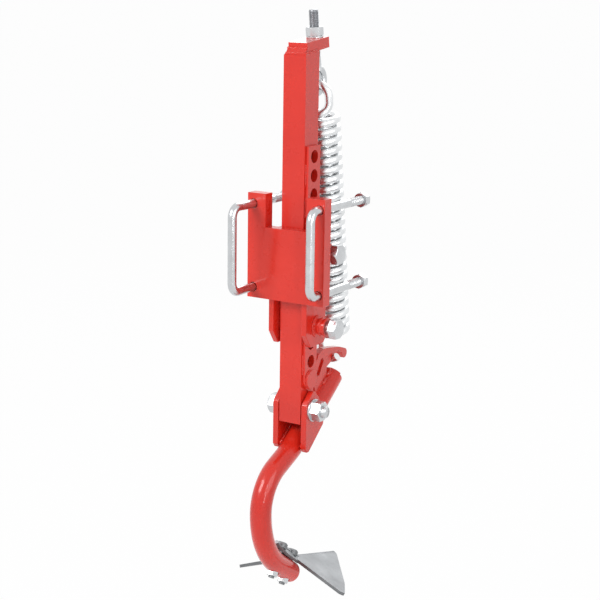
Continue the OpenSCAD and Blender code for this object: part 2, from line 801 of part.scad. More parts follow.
module wing(side) {
    tip = share_w / 2 / cos(droop);
    rotate([0, side * droop, 0]) mirror([side < 0 ? 1 : 0, 0, 0])
        translate([0, 0, -share_t]) linear_extrude(share_t) polygon([
            [-1, 0], [tip - 6, 2], [tip - 1, 6], [tip, 9], [tip * 0.78, 48],
            [10, nose_len - 5], [5, nose_len - 1], [1, nose_len], [-1, nose_len]
        ]);
}

module share_neck() {
    neck_side(1);
    neck_side(-1);
}

module share() {
    color(dark_steel) difference() {
        union() {
            share_neck();
            at_shank() translate([0, ridge_point[0], ridge_point[1]]) rotate([-rake, 0, 0]) {
                wing(1);
                wing(-1);
            }
        }
        on_toe() for (at = share_bolt_at) across(at, 4 * bar_d, small_bolt_d + 2 * turn_gap);
    }
}

// Cup-headed bolts whose heads ride on the neck's ridge
module share_bolts() {
    color(zinc) {
        on_toe() small_shanks(share_bolt_at, toe_through, ridge_up + 1);
        difference() {
            on_toe() cup_heads(share_bolt_at, ridge_up - 8, ridge_up + head_h - 1);
            share_neck();
            on_toe() bar_space(2 * ridge_up - 10, neck_len);
        }
    }
}

module share_nuts() {
    color(zinc) on_toe() small_nuts(share_bolt_at, toe_through);
}

clamp_plate();
guide_side_left();
guide_side_right();
guide_pad();
guide_rear_plate();
lock_bosses();
lock_screw_upper();
lock_screw_lower();
u_bolt_left();
u_bolt_left_nuts();
u_bolt_right();
u_bolt_right_nuts();
shank_tube();
rack_strip();
end_stop();
top_plate();
top_weld();
pivot_bush();
eyebolt();
tension_washer();
tension_nut();
spring();
clevis_left();
clevis_right();
pivot_bolt();
pivot_washers();
pivot_nut();
tine_bar();
foot_strap();
hook_plate();
foot_bolts();
foot_nuts();
share();
share_bolts();
share_nuts();
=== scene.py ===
"""Spring-trip cultivator tine in its toolbar clamp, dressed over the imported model."""
import json
import math

import bmesh
import bpy
from mathutils import Matrix, Vector


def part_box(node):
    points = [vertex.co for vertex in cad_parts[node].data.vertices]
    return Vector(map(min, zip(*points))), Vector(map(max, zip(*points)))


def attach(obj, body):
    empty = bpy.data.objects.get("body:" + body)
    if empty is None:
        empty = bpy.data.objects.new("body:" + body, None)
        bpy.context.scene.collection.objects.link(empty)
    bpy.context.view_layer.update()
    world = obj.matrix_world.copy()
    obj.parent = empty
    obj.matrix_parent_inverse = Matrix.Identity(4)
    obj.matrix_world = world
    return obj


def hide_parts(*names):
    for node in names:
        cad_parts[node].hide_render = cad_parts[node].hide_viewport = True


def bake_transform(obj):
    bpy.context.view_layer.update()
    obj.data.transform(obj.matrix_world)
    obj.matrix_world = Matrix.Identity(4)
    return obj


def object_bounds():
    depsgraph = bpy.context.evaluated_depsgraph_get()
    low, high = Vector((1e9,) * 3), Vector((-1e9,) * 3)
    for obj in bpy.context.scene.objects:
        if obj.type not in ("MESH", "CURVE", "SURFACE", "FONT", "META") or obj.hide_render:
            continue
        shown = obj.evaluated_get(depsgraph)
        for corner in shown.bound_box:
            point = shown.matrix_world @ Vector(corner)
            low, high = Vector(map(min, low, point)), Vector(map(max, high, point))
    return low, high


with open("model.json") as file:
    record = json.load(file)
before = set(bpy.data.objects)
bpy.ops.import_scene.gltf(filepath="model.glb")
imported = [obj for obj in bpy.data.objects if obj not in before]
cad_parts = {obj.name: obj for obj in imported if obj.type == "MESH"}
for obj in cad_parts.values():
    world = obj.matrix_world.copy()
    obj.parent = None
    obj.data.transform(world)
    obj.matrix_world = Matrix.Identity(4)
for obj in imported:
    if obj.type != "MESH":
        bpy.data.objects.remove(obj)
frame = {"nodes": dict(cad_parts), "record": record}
cad_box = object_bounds()

# Floor, light and camera
# A pale floor, lit by a broad sky, three soft boxes and a strip lamp. Floor and sky read white to the
# camera and in the gloss of the metal, and the floor lies under the share when the shank is let down.
scene = bpy.context.scene
scene.view_settings.view_transform = "Standard"
low, high = cad_box
middle = (low + high) / 2
slide_down, floor_gap, floor_reach = 0.15, 0.002, 400
floor_z = low.z - slide_down - floor_gap


def seen_directly(tree, *ray_kinds):
    """An output that is one for rays of these kinds, and nought for the rest."""
    ray = tree.nodes.new("ShaderNodeLightPath")
    share = ray.outputs[ray_kinds[0]]
    for kind in ray_kinds[1:]:
        either = tree.nodes.new("ShaderNodeMath")
        either.operation = "MAXIMUM"
        tree.links.new(share, either.inputs[0])
        tree.links.new(ray.outputs[kind], either.inputs[1])
        share = either.outputs[0]
    return share


world = bpy.data.worlds.new("studio_sky")
scene.world = world
world.use_nodes = True
sky = world.node_tree
sky.nodes.clear()
sky_light = sky.nodes.new("ShaderNodeBackground")
sky_light.inputs["Color"].default_value = (0.93, 0.96, 1.0, 1)
sky_light.inputs["Strength"].default_value = 0.26
sky_seen = sky.nodes.new("ShaderNodeBackground")
sky_seen.inputs["Color"].default_value = (1, 1, 1, 1)
sky_seen.inputs["Strength"].default_value = 1.0
sky_mix = sky.nodes.new("ShaderNodeMixShader")
sky_out = sky.nodes.new("ShaderNodeOutputWorld")
sky_rays = seen_directly(sky, "Is Camera Ray", "Is Transmission Ray", "Is Glossy Ray")
sky.links.new(sky_rays, sky_mix.inputs["Fac"])
sky.links.new(sky_light.outputs[0], sky_mix.inputs[1])
sky.links.new(sky_seen.outputs[0], sky_mix.inputs[2])
sky.links.new(sky_mix.outputs[0], sky_out.inputs["Surface"])

pale = bpy.data.materials.new("pale_floor")
pale.use_nodes = True
pale_tree = pale.node_tree
pale_shader = pale_tree.nodes["Principled BSDF"]
pale_shader.inputs["Base Color"].default_value = (0.93, 0.93, 0.93, 1)
pale_shader.inputs["Roughness"].default_value = 0.9
pale_shader.inputs["Specular IOR Level"].default_value = 0.1
pale_glow = pale_tree.nodes.new("ShaderNodeEmission")
pale_glow.inputs["Strength"].default_value = 1.0
glow_share = pale_tree.nodes.new("ShaderNodeMath")
glow_share.operation = "MULTIPLY"
glow_share.inputs[1].default_value = 0.975
pale_mix = pale_tree.nodes.new("ShaderNodeMixShader")
pale_rays = seen_directly(pale_tree, "Is Camera Ray", "Is Glossy Ray")
pale_tree.links.new(pale_rays, glow_share.inputs[0])
pale_tree.links.new(glow_share.outputs[0], pale_mix.inputs["Fac"])
pale_tree.links.new(pale_shader.outputs[0], pale_mix.inputs[1])
pale_tree.links.new(pale_glow.outputs[0], pale_mix.inputs[2])
pale_tree.links.new(pale_mix.outputs[0], pale_tree.nodes["Material Output"].inputs["Surface"])

floor_mesh = bpy.data.meshes.new("floor")
floor_corners = [(x * floor_reach, y * floor_reach, floor_z) for x, y in ((-1, -1), (1, -1), (1, 1), (-1, 1))]
floor_mesh.from_pydata(floor_corners, [], [(0, 1, 2, 3)])
floor_mesh.materials.append(pale)
floor = bpy.data.objects.new("floor", floor_mesh)
scene.collection.objects.link(floor)


def soft_box(name, place, size, watts):
    """A square lamp that looks at the middle of the tine."""
    lamp = bpy.data.lights.new(name, "AREA")
    lamp.energy, lamp.size = watts, size
    box = bpy.data.objects.new(name, lamp)
    box.location = place
    box.rotation_euler = (middle - Vector(place)).to_track_quat("-Z", "Y").to_euler()
    scene.collection.objects.link(box)
    return lamp


soft_box("key_box", (-0.9, -2.3, 1.7), 1.4, 58)
soft_box("side_box", (2.4, -0.4, 0.9), 1.6, 18)
soft_box("rear_box", (-0.6, 2.2, 1.6), 1.8, 24)
strip = soft_box("strip_box", (1.9, -1.5, 0.5), 0.1, 9)
strip.shape, strip.size_y = "RECTANGLE", 1.7

# The photo's viewpoint is 31 degrees round from the front, 13 degrees above it and 2.1 m away.
camera_data = bpy.data.cameras.new("camera")
camera_data.sensor_width, camera_data.lens = 36, 81.58
camera = bpy.data.objects.new("camera", camera_data)
scene.collection.objects.link(camera)
scene.camera = camera
camera_place = Vector((1.0914, -1.7779, 0.3964))
azimuth, elevation, roll = math.radians(30.874), math.radians(12.881), math.radians(0.922)
level = Vector((math.cos(azimuth), math.sin(azimuth), 0))
ahead = Vector((-math.sin(azimuth), math.cos(azimuth), 0))
forward = math.cos(elevation) * ahead - math.sin(elevation) * Vector((0, 0, 1))
upright = level.cross(forward)
right = math.cos(roll) * level + math.sin(roll) * upright
up = math.cos(roll) * upright - math.sin(roll) * level
camera_turn = Matrix((right, up, -forward)).transposed().to_4x4()
camera.matrix_world = Matrix.Translation(camera_place) @ camera_turn

# Clamp plate
# Laser-cut steel plate that lies on the toolbar, in glossy red enamel.
# The cut edges are broken by about a millimetre, so they catch the light.


def new_finish(name):
    """A material, its node tree, its shader and the Object coordinates that its patterns follow."""
    material = bpy.data.materials.new(name)
    material.use_nodes = True
    tree = material.node_tree
    where = tree.nodes.new("ShaderNodeTexCoord").outputs["Object"]
    return material, tree, tree.nodes["Principled BSDF"], where


def clouds(tree, where, scale, detail, roughness):
    """A noise pattern, from nought to one."""
    noise = tree.nodes.new("ShaderNodeTexNoise")
    noise.inputs["Scale"].default_value = scale
    noise.inputs["Detail"].default_value = detail
    noise.inputs["Roughness"].default_value = roughness
    tree.links.new(where, noise.inputs["Vector"])
    return noise.outputs["Fac"]


def toned(tree, shader, pattern, darker, lighter, start=0.3, stop=0.72):
    """Colour that drifts from one tone to another with a pattern."""
    ramp = tree.nodes.new("ShaderNodeValToRGB")
    first, last = ramp.color_ramp.elements
    first.position, first.color = start, (*darker, 1)
    last.position, last.color = stop, (*lighter, 1)
    tree.links.new(pattern, ramp.inputs["Fac"])
    tree.links.new(ramp.outputs["Color"], shader.inputs["Base Color"])


def dulled(tree, shader, pattern, gloss, dullest, start=0.3, stop=0.75):
    """Roughness that grows with a pattern."""
    dull = tree.nodes.new("ShaderNodeMapRange")
    dull.inputs["From Min"].default_value, dull.inputs["From Max"].default_value = start, stop
    dull.inputs["To Min"].default_value, dull.inputs["To Max"].default_value = gloss, dullest
    tree.links.new(pattern, dull.inputs["Value"])
    tree.links.new(dull.outputs["Result"], shader.inputs["Roughness"])


def raised(tree, shader, pattern, strength, height):
    """Fine relief from a pattern."""
    bump = tree.nodes.new("ShaderNodeBump")
    bump.inputs["Strength"].default_value, bump.inputs["Distance"].default_value = strength, height
    tree.links.new(pattern, bump.inputs["Height"])
    tree.links.new(bump.outputs["Normal"], shader.inputs["Normal"])


def red_enamel(name, stipple=0.11, gloss=0.24, scuff=0.192):
    """Thick glossy enamel: slow colour drift, fine orange peel and patches of duller gloss."""
    material, tree, shader, where = new_finish(name)
    toned(tree, shader, clouds(tree, where, 9, 3, 0.55), (0.66, 0.022, 0.011), (0.78, 0.032, 0.016))
    dulled(tree, shader, clouds(tree, where, 55, 6, 0.7), gloss, gloss + scuff, start=0.35, stop=0.8)
    peel = tree.nodes.new("ShaderNodeMath")
    peel.operation = "ADD"
    tree.links.new(clouds(tree, where, 420, 2, 0.5), peel.inputs[0])
    tree.links.new(clouds(tree, where, 70, 2, 0.5), peel.inputs[1])
    raised(tree, shader, peel.outputs[0], stipple, 0.0004)
    shader.inputs["Specular IOR Level"].default_value = 0.3
    shader.inputs["Coat Weight"].default_value = 0.5
    shader.inputs["Coat Roughness"].default_value = 0.12
    return material


body_with = {}
for body, nodes in frame["record"]["behaviour"]["bodies"].items():
    body_with.update({node: body for node in nodes})
same_place, flat, sharp = 2e-6, math.radians(0.6), math.radians(35)


def softened(node, material, edge=0.001, steps=3):
    """A copy of a CAD node with its sharp edges rounded, which stands in for the node."""
    mesh = frame["nodes"][node].data.copy()
    shape = bmesh.new()
    shape.from_mesh(mesh)
    bmesh.ops.remove_doubles(shape, verts=shape.verts, dist=same_place)
    bmesh.ops.dissolve_limit(shape, angle_limit=flat, verts=shape.verts, edges=shape.edges)
    bmesh.ops.recalc_face_normals(shape, faces=shape.faces)
    shape.to_mesh(mesh)
    shape.free()
    mesh.materials.clear()
    mesh.materials.append(material)
    mesh.shade_smooth()
    mesh.set_sharp_from_angle(angle=sharp)
    piece = bpy.data.objects.new(node + "_soft", mesh)
    scene.collection.objects.link(piece)
    rounding = piece.modifiers.new("edges", "BEVEL")
    rounding.width, rounding.segments = edge, steps
    rounding.limit_method, rounding.angle_limit = "ANGLE", sharp
    rounding.harden_normals = True
    rounding.miter_outer = "MITER_ARC"
    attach(piece, body_with[node])
    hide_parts(node)
    return piece


plate_red = red_enamel("plate_red")
softened("clamp_plate", plate_red, edge=0.0012)

# Guide
# Two side plates, a packing strip and a rear plate behind the clamp plate, that the shank slides in.
# They are welded with stacked beads, painted over with the plates.
for plate in ("guide_side_left", "guide_side_right", "guide_pad", "guide_rear_plate"):
    softened(plate, plate_red)


def line_tree(name, sizes):
    """A geometry tree that takes a line, some sizes and a finish, with its input node and its curve."""
    tree = bpy.data.node_groups.new(name, "GeometryNodeTree")
    for label, kind in {"Line": "Geometry", **sizes, "Finish": "Material"}.items():
        tree.interface.new_socket(label, in_out="INPUT", socket_type="NodeSocket" + kind)
    tree.interface.new_socket("Made", in_out="OUTPUT", socket_type="NodeSocketGeometry")
    given = tree.nodes.new("NodeGroupInput")
    curve = tree.nodes.new("GeometryNodeMeshToCurve")
    tree.links.new(given.outputs["Line"], curve.inputs[0])
    return tree, given, curve.outputs[0]


def close_tree(tree, given, made):
    """The end of such a tree: instances made real, smooth shading and the finish."""
    for kind in ("RealizeInstances", "SetShadeSmooth", "SetMaterial"):
        step = tree.nodes.new("GeometryNode" + kind)
        tree.links.new(made, step.inputs[0])
        made = step.outputs[0]
    tree.links.new(given.outputs["Finish"], step.inputs["Material"])
    tree.links.new(made, tree.nodes.new("NodeGroupOutput").inputs[0])


def bead_tree():
    """Geometry nodes that lay overlapping drops along a line, as a weld bead lies."""
    tree, given, curve = line_tree("weld_bead", {"Bead radius": "Float", "Ripple spacing": "Float"})
    spaced = tree.nodes.new("GeometryNodeResampleCurve")
    spaced.mode = "LENGTH"
    drop = tree.nodes.new("GeometryNodeMeshUVSphere")
    drop.inputs["Segments"].default_value, drop.inputs["Rings"].default_value = 14, 8
    tangent = tree.nodes.new("GeometryNodeInputTangent")
    turn = tree.nodes.new("FunctionNodeAlignRotationToVector")
    turn.axis = "Z"
    uneven = tree.nodes.new("FunctionNodeRandomValue")
    uneven.data_type = "FLOAT"
    smallest, largest = uneven.inputs[2], uneven.inputs[3]
    smallest.default_value, largest.default_value = 0.88, 1.08
    uneven.inputs["Seed"].default_value = 7
    laid = tree.nodes.new("GeometryNodeInstanceOnPoints")
    link = tree.links.new
    link(curve, spaced.inputs["Curve"])
    link(given.outputs["Ripple spacing"], spaced.inputs["Length"])
    link(given.outputs["Bead radius"], drop.inputs["Radius"])
    link(tangent.outputs[0], turn.inputs["Vector"])
    link(spaced.outputs[0], laid.inputs["Points"])
    link(drop.outputs["Mesh"], laid.inputs["Instance"])
    link(turn.outputs[0], laid.inputs["Rotation"])
    link(uneven.outputs[1], laid.inputs["Scale"])
    close_tree(tree, given, laid.outputs[0])
    return tree


def settled(piece):
    """The piece with its modifiers worked out and kept as a plain mesh."""
    bpy.context.view_layer.update()
    ready = piece.evaluated_get(bpy.context.evaluated_depsgraph_get())
    mesh = bpy.data.meshes.new_from_object(ready)
    piece.modifiers.clear()
    piece.data = mesh
    return piece


def laid_along(name, lines, tree, sizes):
    """A piece that a tree makes along lines of points, with the tree's inputs set by name."""
    points, edges = [], []
    for line in lines:
        first = len(points)
        points += [tuple(p) for p in line]
        edges += [(first + k, first + k + 1) for k in range(len(line) - 1)]
    mesh = bpy.data.meshes.new(name)
    mesh.from_pydata(points, edges, [])
    piece = bpy.data.objects.new(name, mesh)
    scene.collection.objects.link(piece)
    making = piece.modifiers.new("making", "NODES")
    making.node_group = tree
    for socket in tree.interface.items_tree:
        if socket.name in sizes:
            making[socket.identifier] = sizes[socket.name]
    return settled(piece)


weld_bead = bead_tree()


def weld(name, lines, body, paint, radius=0.0021, ripple=0.0019):
    """Weld beads along lines of points, as one piece that rides on a body."""
    sizes = {"Bead radius": radius, "Ripple spacing": ripple, "Finish": paint}
    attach(laid_along(name, lines, weld_bead, sizes), body)


plate_low, plate_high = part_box("clamp_plate")
side_low, side_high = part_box("guide_side_right")
rear_low, rear_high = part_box("guide_rear_plate")
front_bead, rear_bead, seam_inset, bead_sunk = 0.003, 0.0018, 0.004, 0.0006
front_seams = [[(x, plate_high.y, plate_low.z + seam_inset), (x, plate_high.y, side_high.z - front_bead)]
               for x in (-side_high.x, side_high.x)]
weld("guide_front_welds", front_seams, "holder", plate_red, radius=front_bead, ripple=0.0023)
rear_seams = [[(x, rear_high.y - bead_sunk, z) for z in (rear_low.z + seam_inset, rear_high.z - seam_inset)]
              for x in (-side_low.x, side_low.x)]
weld("guide_rear_welds", rear_seams, "holder", plate_red, radius=rear_bead, ripple=0.0018)

# Lock bosses
# Turned bosses for the lock screws, welded round on the right side plate and painted with it.
softened("lock_bosses", plate_red, edge=0.0012)


def ring_of_points(centre, radius, axis=(1, 0, 0), count=48):
    """Points round a closed circle about an axis."""
    axis = Vector(axis)
    side = axis.orthogonal().normalized()
    across = axis.cross(side)
    turns = [math.tau * k / count for k in range(count + 1)]
    return [Vector(centre) + radius * (math.cos(t) * side + math.sin(t) * across) for t in turns]


boss_low, boss_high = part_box("lock_bosses")
boss_radius, boss_y = (boss_high.y - boss_low.y) / 2, (boss_high.y + boss_low.y) / 2
boss_bead_lift = 0.0006
boss_rings = [ring_of_points((side_high.x + boss_bead_lift, boss_y, z), boss_radius)
              for z in (boss_high.z - boss_radius, boss_low.z + boss_radius)]
weld("boss_welds", boss_rings, "holder", plate_red, radius=0.0024)

# Lock screws
# Zinc-plated hexagon screws that drive through the bosses into the rack.
# They are backed out at rest, so their heads stand clear of the bosses.


def zinc_plate(name, tint=(0.66, 0.675, 0.69), gloss=0.2, scratch=0.105):
    """Bright zinc plating: a cloudy tone and sheen, and a fine speckled relief."""
    material, tree, shader, where = new_finish(name)
    cloud = clouds(tree, where, 38, 5, 0.6)
    dimmer = [0.82 * c for c in tint]
    toned(tree, shader, cloud, dimmer, tint, stop=0.7)
    dulled(tree, shader, cloud, gloss, gloss + 0.16)
    raised(tree, shader, clouds(tree, where, 900, 2, 0.6), scratch, 0.0002)
    shader.inputs["Metallic"].default_value = 1.0
    return material


bolt_zinc = zinc_plate("bolt_zinc")
for screw in ("lock_screw_upper", "lock_screw_lower"):
    softened(screw, bolt_zinc, edge=0.0005, steps=2)

# U-bolts
# Zinc-plated round bar bent square round the toolbar, threaded at both ends.
# Each leg carries a washer and a nut behind the clamp plate.


def bar_tree():
    """Geometry nodes that sweep a round section along a line."""
    tree, given, curve = line_tree("round_bar", {"Bar radius": "Float", "Sides": "Int"})
    rings = tree.nodes.new("GeometryNodeSetCurveNormal")
    section = tree.nodes.new("GeometryNodeCurvePrimitiveCircle")
    swept = tree.nodes.new("GeometryNodeCurveToMesh")
    swept.inputs["Fill Caps"].default_value = True
    link = tree.links.new
    link(curve, rings.inputs[0])
    link(rings.outputs[0], swept.inputs["Curve"])
    link(given.outputs["Bar radius"], section.inputs["Radius"])
    link(given.outputs["Sides"], section.inputs["Resolution"])
    link(section.outputs[0], swept.inputs["Profile Curve"])
    close_tree(tree, given, swept.outputs[0])
    return tree


swept_bar = bar_tree()
cap_edge = math.radians(50)


def round_bar(name, line, diameter, finish, sides=40):
    """A round bar or wire swept along a line of points."""
    sizes = {"Bar radius": diameter / 2, "Sides": sides, "Finish": finish}
    piece = laid_along(name, [line], swept_bar, sizes)
    piece.data.set_sharp_from_angle(angle=cap_edge)
    return piece


def skinned(name, rings, finish, crease=None):
    """A closed piece through rings of points, with its two ends filled."""
    shape = bmesh.new()
    loops = [[shape.verts.new(p) for p in ring] for ring in rings]
    for a, b in zip(loops, loops[1:]):
        for j in range(len(a)):
            k = (j + 1) % len(a)
            shape.faces.new((a[j], a[k], b[k], b[j]))
    shape.faces.new(list(reversed(loops[0])))
    shape.faces.new(loops[-1])
    bmesh.ops.recalc_face_normals(shape, faces=shape.faces)
    mesh = bpy.data.meshes.new(name)
    shape.to_mesh(mesh)
    shape.free()
    mesh.materials.append(finish)
    mesh.shade_smooth()
    if crease:
        mesh.set_sharp_from_angle(angle=crease)
    piece = bpy.data.objects.new(name, mesh)
    scene.collection.objects.link(piece)
    return piece


# The thread's depth and run-out are shares of its pitch. Its ridge has sloped sides and a flat top.
thread_depth, run_out, rings_per_pitch = 0.61, 1.2, 8
ridge_slope, ridge_top = 1.15, 1.25


def threaded_bar(name, start, end, diameter, pitch, body, sides=36, finish=bolt_zinc):
    """A bar with a real helical thread from start to end, which runs out at both of them."""
    start, end = Vector(start), Vector(end)
    length = (end - start).length
    along = (end - start).normalized()
    side = along.orthogonal().normalized()
    across = along.cross(side)
    crest = diameter / 2
    root = crest - thread_depth * pitch
    steps = max(8, int(round(length / pitch * rings_per_pitch)))
    rings = []
    for z in [length * k / steps for k in range(steps + 1)]:
        fade = min(1.0, min(z, length - z) / (run_out * pitch))
        ring = []
        for j in range(sides):
            phase = (z / pitch - j / sides) % 1.0
            ridge = max(0.0, 1 - ridge_slope * abs(2 * phase - 1))
            radius = root + (crest - root) * min(1.0, ridge_top * ridge) * fade
            turn = math.tau * j / sides
            ring.append(start + z * along + radius * (math.cos(turn) * side + math.sin(turn) * across))
        rings.append(ring)
    piece = skinned(name, rings, finish)
    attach(piece, body)
    return piece


thread_length, thread_lap, thread_pitch, bend_radius = 0.062, 0.001, 0.002, 0.016
quarter = [math.pi / 2 * k / 12 for k in range(13)]
for side in ("left", "right"):
    bolt_low, bolt_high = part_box("u_bolt_" + side)
    u_bar = bolt_high.x - bolt_low.x
    x = (bolt_low.x + bolt_high.x) / 2
    back, front = bolt_low.y + u_bar / 2, bolt_high.y - thread_length
    top, bottom = bolt_high.z - u_bar / 2, bolt_low.z + u_bar / 2
    bend = [(x, back + bend_radius * (1 - math.sin(t)), top - bend_radius * (1 - math.cos(t)))
            for t in quarter]
    lower_bend = [(x, y, top + bottom - z) for _, y, z in reversed(bend)]
    hoop_line = [(x, front, top)] + bend + lower_bend + [(x, front, bottom)]
    hoop = round_bar("u_bolt_bar_" + side, hoop_line, u_bar, bolt_zinc, sides=48)
    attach(hoop, side + "_clamp")
    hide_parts("u_bolt_" + side)
    for z, leg in ((top, "top"), (bottom, "bottom")):
        threaded_bar(f"u_bolt_thread_{side}_{leg}", (x, front - thread_lap, z), (x, bolt_high.y, z), u_bar,
                     thread_pitch, side + "_clamp")
    softened(f"u_bolt_{side}_nuts", bolt_zinc, edge=0.0005, steps=2)

# Shank tube and rack
# Square steel tube with a perforated rack strip welded on its right side, in the same enamel.
# The strip is stitched on with short welds along its front edge, and a disc stops it at the guide.
shank_red = red_enamel("shank_red", stipple=0.132)
softened("shank_tube", shank_red, edge=0.0026, steps=4)
softened("rack_strip", shank_red, edge=0.0007, steps=2)
softened("end_stop", shank_red, edge=0.0006, steps=2)
tube_low, tube_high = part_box("shank_tube")
strip_low, strip_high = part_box("rack_strip")
stitch, stitch_count, stitch_inset = 0.03, 7, 0.03
stitch_lift, stitch_ahead, stop_lift = 0.0004, 0.0002, 0.0003
stitch_x, stitch_y = tube_high.x + stitch_lift, strip_low.y - stitch_ahead
stitch_pitch = (strip_high.z - strip_low.z - 2 * stitch_inset - stitch) / (stitch_count - 1)
stitches = []
for k in range(stitch_count):
    z = strip_low.z + stitch_inset + k * stitch_pitch
    stitches.append([(stitch_x, stitch_y, z), (stitch_x, stitch_y, z + stitch)])
weld("rack_stitch_welds", stitches, "shank", shank_red, radius=0.0019)
stop_low, stop_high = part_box("end_stop")
stop_middle = (stop_low + stop_high) / 2
stop_place = (strip_high.x + stop_lift, stop_middle.y, stop_middle.z)
stop_ring = ring_of_points(stop_place, (stop_high.z - stop_low.z) / 2)
weld("end_stop_weld", [stop_ring], "shank", shank_red, radius=0.0014, ripple=0.0015)

# Top plate
# Thick plate on the tube's slanted top end, square to the line of pull, that carries the eyebolt.
# It is welded on all round, with a heavy fillet at the front.
softened("top_plate", shank_red, edge=0.0013)
softened("top_weld", shank_red, edge=0.0008, steps=2)
lean = math.radians(7.6)
pull_up = Vector((0, -math.sin(lean), math.cos(lean)))
pull_out = Vector((0, math.cos(lean), math.sin(lean)))
tube_front = Vector((0, tube_low.y, tube_high.z - (tube_high.y - tube_low.y) * math.tan(lean)))


def on_top(x, back, lift):
    """A place on the tube's slanted top end, so far back along it and so far above it."""
    return tube_front + Vector((x, 0, 0)) + back * pull_out + lift * pull_up


top_low, top_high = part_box("top_plate")
plate_half = top_high.x
seam_front, seam_back, side_lift = 0.004, 0.040, 0.0012
back_at, back_inset = 0.0403, 0.002
fillet_at, fillet_lift, fillet_inset = 0.0088, 0.0085, 0.001
top_seams = [[on_top(x, back, side_lift) for back in (seam_front, seam_back)]
             for x in (-plate_half, plate_half)]
top_seams.append([on_top(side * (plate_half - back_inset), back_at, 0) for side in (-1, 1)])
top_seams.append([on_top(side * (plate_half - fillet_inset), fillet_at, fillet_lift) for side in (-1, 1)])
weld("top_plate_welds", top_seams, "shank", shank_red, radius=0.0026, ripple=0.0022)

# Eyebolt and tension nut
# Forged zinc-plated eyebolt, its rolled thread a duller grey, that hangs through the top plate on one
# nut and a washer. Turning the nut draws the eye up and tightens the spring.
wire, hook_gap = 0.0135, 0.0003

# The spring's top hook turns over here, so far behind the tube's front face and above its foot.
hook_behind, hook_above = 0.0688, 0.540
hook_top = Vector((0, tube_low.y + hook_behind, tube_low.z + hook_above))
eye_bar, eye_across, rod, rod_reach = 0.012, 0.038, 0.016, 0.110
eye_centre = hook_top + pull_up * (eye_across / 2 - eye_bar / 2 - wire / 2 - hook_gap)
eye_turns = [math.tau * k / 96 for k in range(97)]
eye_line = [eye_centre + eye_across / 2 * (math.cos(t) * pull_up + math.sin(t) * pull_out) for t in eye_turns]
eye = round_bar("eye_ring", eye_line, eye_bar, bolt_zinc)
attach(eye, "shank")

neck_sunk, neck_length, neck_flare, neck_slack = 0.003, 0.019, 0.16, 0.0004
neck_start = eye_centre + pull_up * (eye_across / 2 - neck_sunk)
neck_end = eye_centre + pull_up * (eye_across / 2 + neck_length)
neck_turns = [math.tau * j / 40 for j in range(40)]
neck_rings = []
for t in [k / 14 for k in range(15)]:
    radius = rod / 2 * (1 + neck_flare * (1 - t) ** 2) - neck_slack
    centre = neck_start.lerp(neck_end, t)
    neck_rings.append([centre + radius * (math.cos(a) * Vector((1, 0, 0)) + math.sin(a) * pull_out)
                       for a in neck_turns])
eye_neck = skinned("eye_neck", neck_rings, bolt_zinc, crease=cap_edge)
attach(eye_neck, "shank")

grey_zinc = zinc_plate("grey_zinc", tint=(0.36, 0.37, 0.39), gloss=0.3)
rod_end = eye_centre + rod_reach * pull_up
rod_thread = threaded_bar("eyebolt_thread", neck_end - thread_lap * pull_up, rod_end, rod, thread_pitch,
                          "shank", sides=40, finish=grey_zinc)
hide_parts("eyebolt")
softened("tension_washer", bolt_zinc, edge=0.0004, steps=2)
softened("tension_nut", bolt_zinc, edge=0.0005, steps=2)

# Spring
# Extension spring of heavy zinc-plated wire, with a hook bent up at each end.
# The upper hook hangs in the eyebolt and the lower one under the claw. The real coils open as the tine trips;
# this wire is built once, in its rest shape.
coil_radius, coil_pitch, coil_count, coil_offset = 0.02275, 0.01545, 24, 0.011
hook_radius, hook_span, hook_bend = 0.020, 0.465, math.radians(130)
exit_turn = 98.6
swept_turns = (360 * coil_count - 2 * (exit_turn - 90)) / 360
first_coil = (hook_span - coil_pitch * swept_turns) / 2
leg_below, ease, nudge = 0.006, 0.017, 0.002
coil_points, hook_points, leg_points = 1150, 32, 24


def on_coil(turns):
    """A point of the coils, as (across, out, down), so many turns past the upper hook."""
    a = math.radians(-exit_turn - 360 * turns)
    out = coil_offset + coil_radius * math.sin(a)
    return Vector((coil_radius * math.cos(a), out, first_coil + coil_pitch * turns))


def eased(a, b, c, d, t):
    """The place at t on the smooth curve from a to d, with b and c as its handles."""
    return (1 - t) ** 3 * a + 3 * t * (1 - t) ** 2 * b + 3 * t * t * (1 - t) * c + t ** 3 * d


def hung(p):
    """The place of a point given as (across, out, down) from the top of the upper hook."""
    return hook_top + Vector((p.x, 0, 0)) + p.y * pull_out - p.z * pull_up


hook_turns = [hook_bend * (1 - k / hook_points) for k in range(hook_points + 1)]
hook_line = [Vector((hook_radius * math.cos(t), 0, hook_radius * (1 - math.sin(t)))) for t in hook_turns]
leg_top = Vector((hook_radius, 0, hook_radius + leg_below))
leg_handle = leg_top + Vector((0, 0, ease))
coil_start = on_coil(0)
coil_handle = coil_start - ease * (on_coil(nudge) - coil_start).normalized()
hook_line += [eased(leg_top, leg_handle, coil_handle, coil_start, k / leg_points) for k in range(leg_points)]
coil_line = [on_coil(swept_turns * k / coil_points) for k in range(coil_points + 1)]
lower_line = [Vector((-p.x, p.y, hook_span - p.z)) for p in reversed(hook_line)]
wire_line = [hung(p) for p in hook_line + coil_line + lower_line]
spring_zinc = zinc_plate("spring_zinc", tint=(0.86, 0.875, 0.885), scratch=0.12)
spring = round_bar("spring_wire", wire_line, wire, spring_zinc, sides=28)
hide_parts("spring")
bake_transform(spring)

